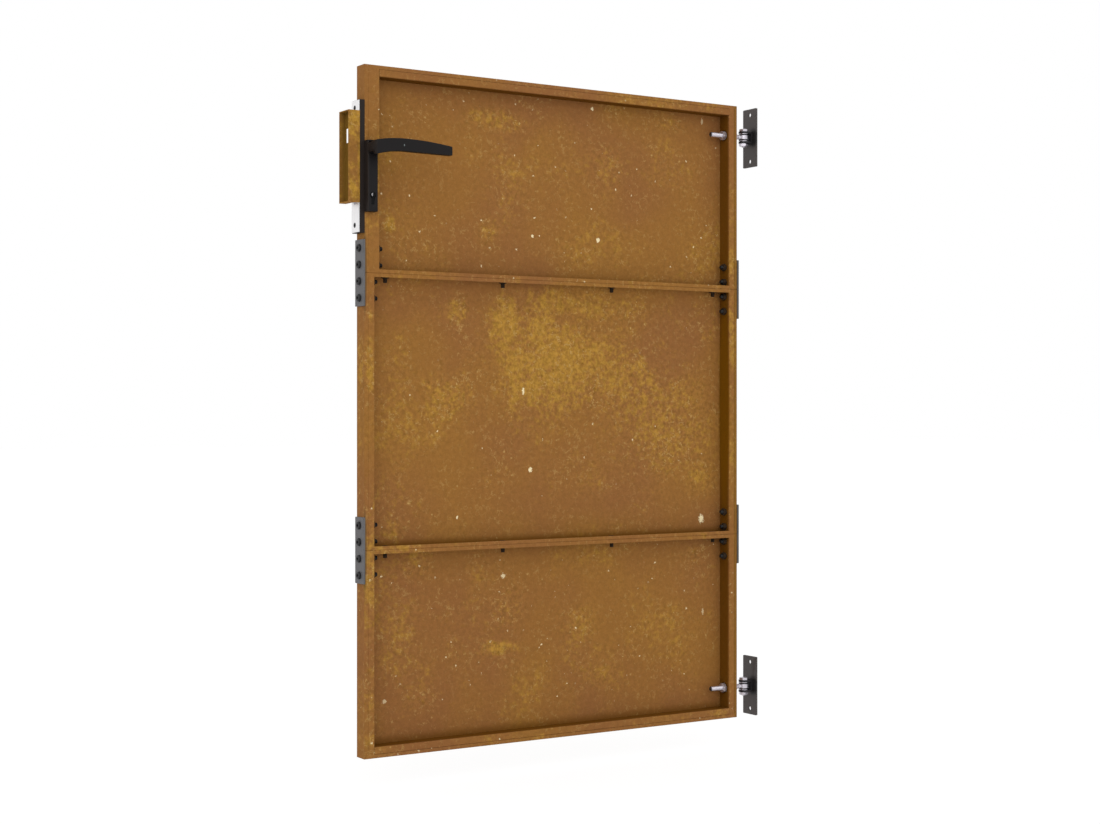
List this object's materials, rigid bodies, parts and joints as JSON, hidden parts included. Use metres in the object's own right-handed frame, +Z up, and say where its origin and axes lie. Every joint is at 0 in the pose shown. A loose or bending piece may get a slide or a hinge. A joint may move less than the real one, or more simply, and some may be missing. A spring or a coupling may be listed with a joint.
{
  "type": "steel garden gate",
  "caption": "Garden gate leaf of stacked rusty sheet-steel trays with box stiffeners, eye-bolt hinges on wall plates, a lever lock with latch and dead bolt, and a keeper.",
  "frame": {"origin": "middle of the lower hinge's wall plate, on its wall face, midway between its two holes", "axes": "+X points from the gate into the wall that carries the hinges, +Y to the side that the gate opens to, which is the flat outer side of the panels, and +Z up along the hinge pins"},
  "size_m": [0.933, 0.138, 1.25],
  "materials": {
    "weathering_steel": "matte rust patina",
    "keeper_steel": "matte rust patina, yellower",
    "grey_plate": "satin grey",
    "black_fastener": "black oxide",
    "black_lock": "satin black",
    "bright_plate": "bright zinc",
    "bright_fastener": "bright zinc",
    "dark_plate": "dark satin",
    "black_bracket": "black satin",
    "nylon": "black nylon",
    "lock_steel": "plain steel",
    "cylinder_metal": "dark nickel"
  },
  "bodies": {
    "post_side": {"lower_wall_plate": "dark_plate", "upper_wall_plate": "dark_plate", "lower_hinge_bracket": "black_bracket", "upper_hinge_bracket": "black_bracket", "lower_hinge_pin": "bright_fastener", "upper_hinge_pin": "bright_fastener", "hinge_pin_nuts": "bright_fastener", "hinge_washers": "bright_fastener", "hinge_bushes": "nylon", "keeper_channel": "keeper_steel", "keeper_front_plate": "keeper_steel"},
    "gate_leaf": {"top_section_tray": "weathering_steel", "middle_section_tray": "weathering_steel", "bottom_section_tray": "weathering_steel", "lock_stile_tube": "weathering_steel", "top_hinge_stile_tube": "weathering_steel", "middle_lock_stile_tube": "weathering_steel", "middle_hinge_stile_tube": "weathering_steel", "bottom_lock_stile_tube": "weathering_steel", "bottom_hinge_stile_tube": "weathering_steel", "top_rail_tube": "weathering_steel", "bottom_rail_tube": "weathering_steel", "upper_flange_bolts": "black_fastener", "lower_flange_bolts": "black_fastener", "flange_washers": "black_fastener", "flange_nuts": "black_fastener", "upper_lock_joiner_plate": "grey_plate", "upper_hinge_joiner_plate": "grey_plate", "lower_lock_joiner_plate": "grey_plate", "lower_hinge_joiner_plate": "grey_plate", "lock_joiner_bolts": "black_fastener", "long_joiner_bolts": "black_fastener", "hinge_joiner_bolts": "black_fastener", "joiner_nuts": "black_fastener", "lower_eye_bolt": "bright_fastener", "upper_eye_bolt": "bright_fastener", "eye_bolt_nuts": "bright_fastener", "lock_spacer": "black_lock", "lock_faceplate": "bright_plate", "faceplate_screws": "black_fastener", "lock_case": "lock_steel", "lock_case_cover": "lock_steel", "latch_spring": "lock_steel", "inside_handle_plate": "black_lock", "outside_handle_plate": "black_lock", "handle_screws": "black_fastener", "cylinder_body": "cylinder_metal", "cylinder_screw": "bright_fastener"},
    "lever_set": {"inside_lever": "black_lock", "outside_lever": "black_lock", "spindle": "lock_steel", "follower": "lock_steel", "lever_grub_screws": "black_fastener"},
    "latch": {"latch_bolt": "lock_steel"},
    "key_plug": {"inside_cylinder_plug": "cylinder_metal", "outside_cylinder_plug": "cylinder_metal", "cylinder_cam": "lock_steel"},
    "bolt_slider": {"dead_bolt": "lock_steel"}
  },
  "joints": [
    {"name": "gate_swing", "type": "hinge", "parent": "post_side", "child": "gate_leaf", "pos_m": [-0.02, 0, 0], "axis": [0, 0, -1], "range_deg": [0, 90]},
    {"name": "lever_turn", "type": "hinge", "parent": "gate_leaf", "child": "lever_set", "pos_m": [-0.891, 0, 1.041], "axis": [0, 1, 0], "range_deg": [0, 40], "stiffness_Nm_per_rad": 2, "springref_deg": -28.65},
    {"name": "latch_slide", "type": "slide", "parent": "gate_leaf", "child": "latch", "axis": [1, 0, 0], "range_m": [0, 0.0075], "deforming": ["latch_spring"]},
    {"name": "key_turn", "type": "hinge", "parent": "gate_leaf", "child": "key_plug", "pos_m": [-0.891, 0, 0.953], "axis": [0, 1, 0], "range_deg": [0, 360]},
    {"name": "deadbolt_slide", "type": "slide", "parent": "gate_leaf", "child": "bolt_slider", "axis": [-1, 0, 0], "range_m": [0, 0.016]}
  ],
  "couplings": [
    {"joint": "latch_slide", "follows": "lever_turn", "m_per_rad": 0.010743},
    {"joint": "key_turn", "follows": "deadbolt_slide", "rad_per_m": 392.69}
  ]
}
